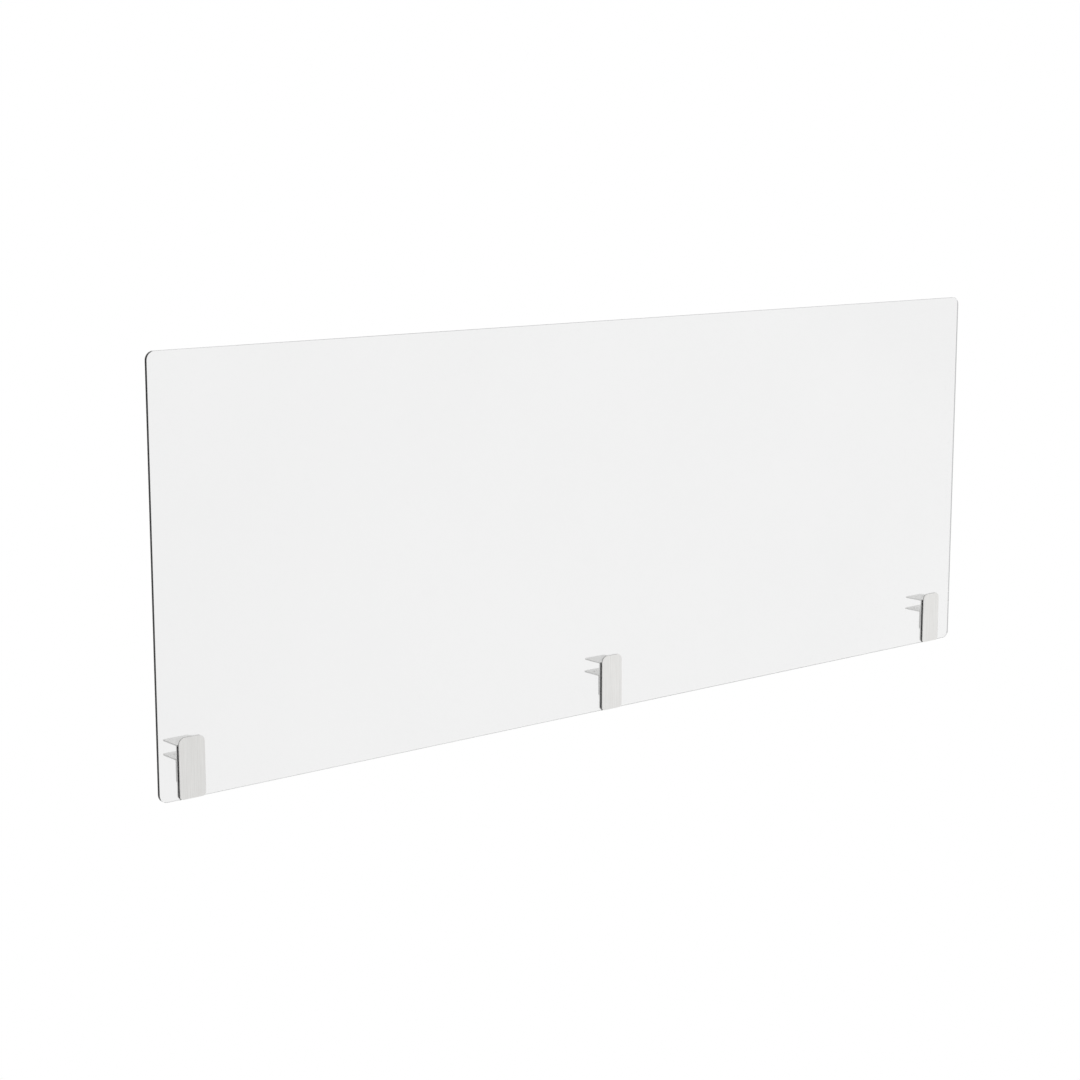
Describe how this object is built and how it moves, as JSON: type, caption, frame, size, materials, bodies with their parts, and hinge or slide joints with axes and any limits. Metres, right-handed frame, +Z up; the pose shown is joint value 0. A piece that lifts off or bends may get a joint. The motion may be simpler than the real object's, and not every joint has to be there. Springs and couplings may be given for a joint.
{
  "type": "desk privacy panel",
  "caption": "Clear acrylic desk screen with rounded corners, held along its foot by brushed steel clamp brackets with a sliding lower jaw that grip a desktop edge.",
  "frame": {"origin": "middle of the underside of the centre bracket's top flange, where it rests on the desktop; z = 0 is the desktop's upper surface", "axes": "+X along the screen to its right seen from the front, +Y from the screen in over the desktop, +Z up"},
  "size_m": [1.6, 0.0458, 0.6],
  "materials": {
    "clear_acrylic": "polished",
    "brushed_plate": "satin",
    "brushed_jaw": "satin",
    "black_rubber": "matte",
    "zinc_fastener": "satin"
  },
  "bodies": {
    "screen": {"clear_panel": "clear_acrylic", "left_front_plate": "brushed_plate", "left_front_gasket": "black_rubber", "left_rear_gasket": "black_rubber", "left_upper_jaw": "brushed_jaw", "left_sleeve_nuts": "zinc_fastener", "left_fixing_screws": "zinc_fastener", "left_clamp_studs": "zinc_fastener", "left_clamp_washers": "zinc_fastener", "left_clamp_nuts": "zinc_fastener", "centre_front_plate": "brushed_plate", "centre_front_gasket": "black_rubber", "centre_rear_gasket": "black_rubber", "centre_upper_jaw": "brushed_jaw", "centre_sleeve_nuts": "zinc_fastener", "centre_fixing_screws": "zinc_fastener", "centre_clamp_studs": "zinc_fastener", "centre_clamp_washers": "zinc_fastener", "centre_clamp_nuts": "zinc_fastener", "right_front_plate": "brushed_plate", "right_front_gasket": "black_rubber", "right_rear_gasket": "black_rubber", "right_upper_jaw": "brushed_jaw", "right_sleeve_nuts": "zinc_fastener", "right_fixing_screws": "zinc_fastener", "right_clamp_studs": "zinc_fastener", "right_clamp_washers": "zinc_fastener", "right_clamp_nuts": "zinc_fastener"},
    "left_sliding_jaw": {"left_lower_jaw": "brushed_jaw"},
    "centre_sliding_jaw": {"centre_lower_jaw": "brushed_jaw"},
    "right_sliding_jaw": {"right_lower_jaw": "brushed_jaw"}
  },
  "joints": [
    {"name": "left_jaw_slide", "type": "slide", "parent": "screen", "child": "left_sliding_jaw", "axis": [0, 0, -1], "range_m": [0, 0.018]},
    {"name": "centre_jaw_slide", "type": "slide", "parent": "screen", "child": "centre_sliding_jaw", "axis": [0, 0, -1], "range_m": [0, 0.018]},
    {"name": "right_jaw_slide", "type": "slide", "parent": "screen", "child": "right_sliding_jaw", "axis": [0, 0, -1], "range_m": [0, 0.018]}
  ]
}
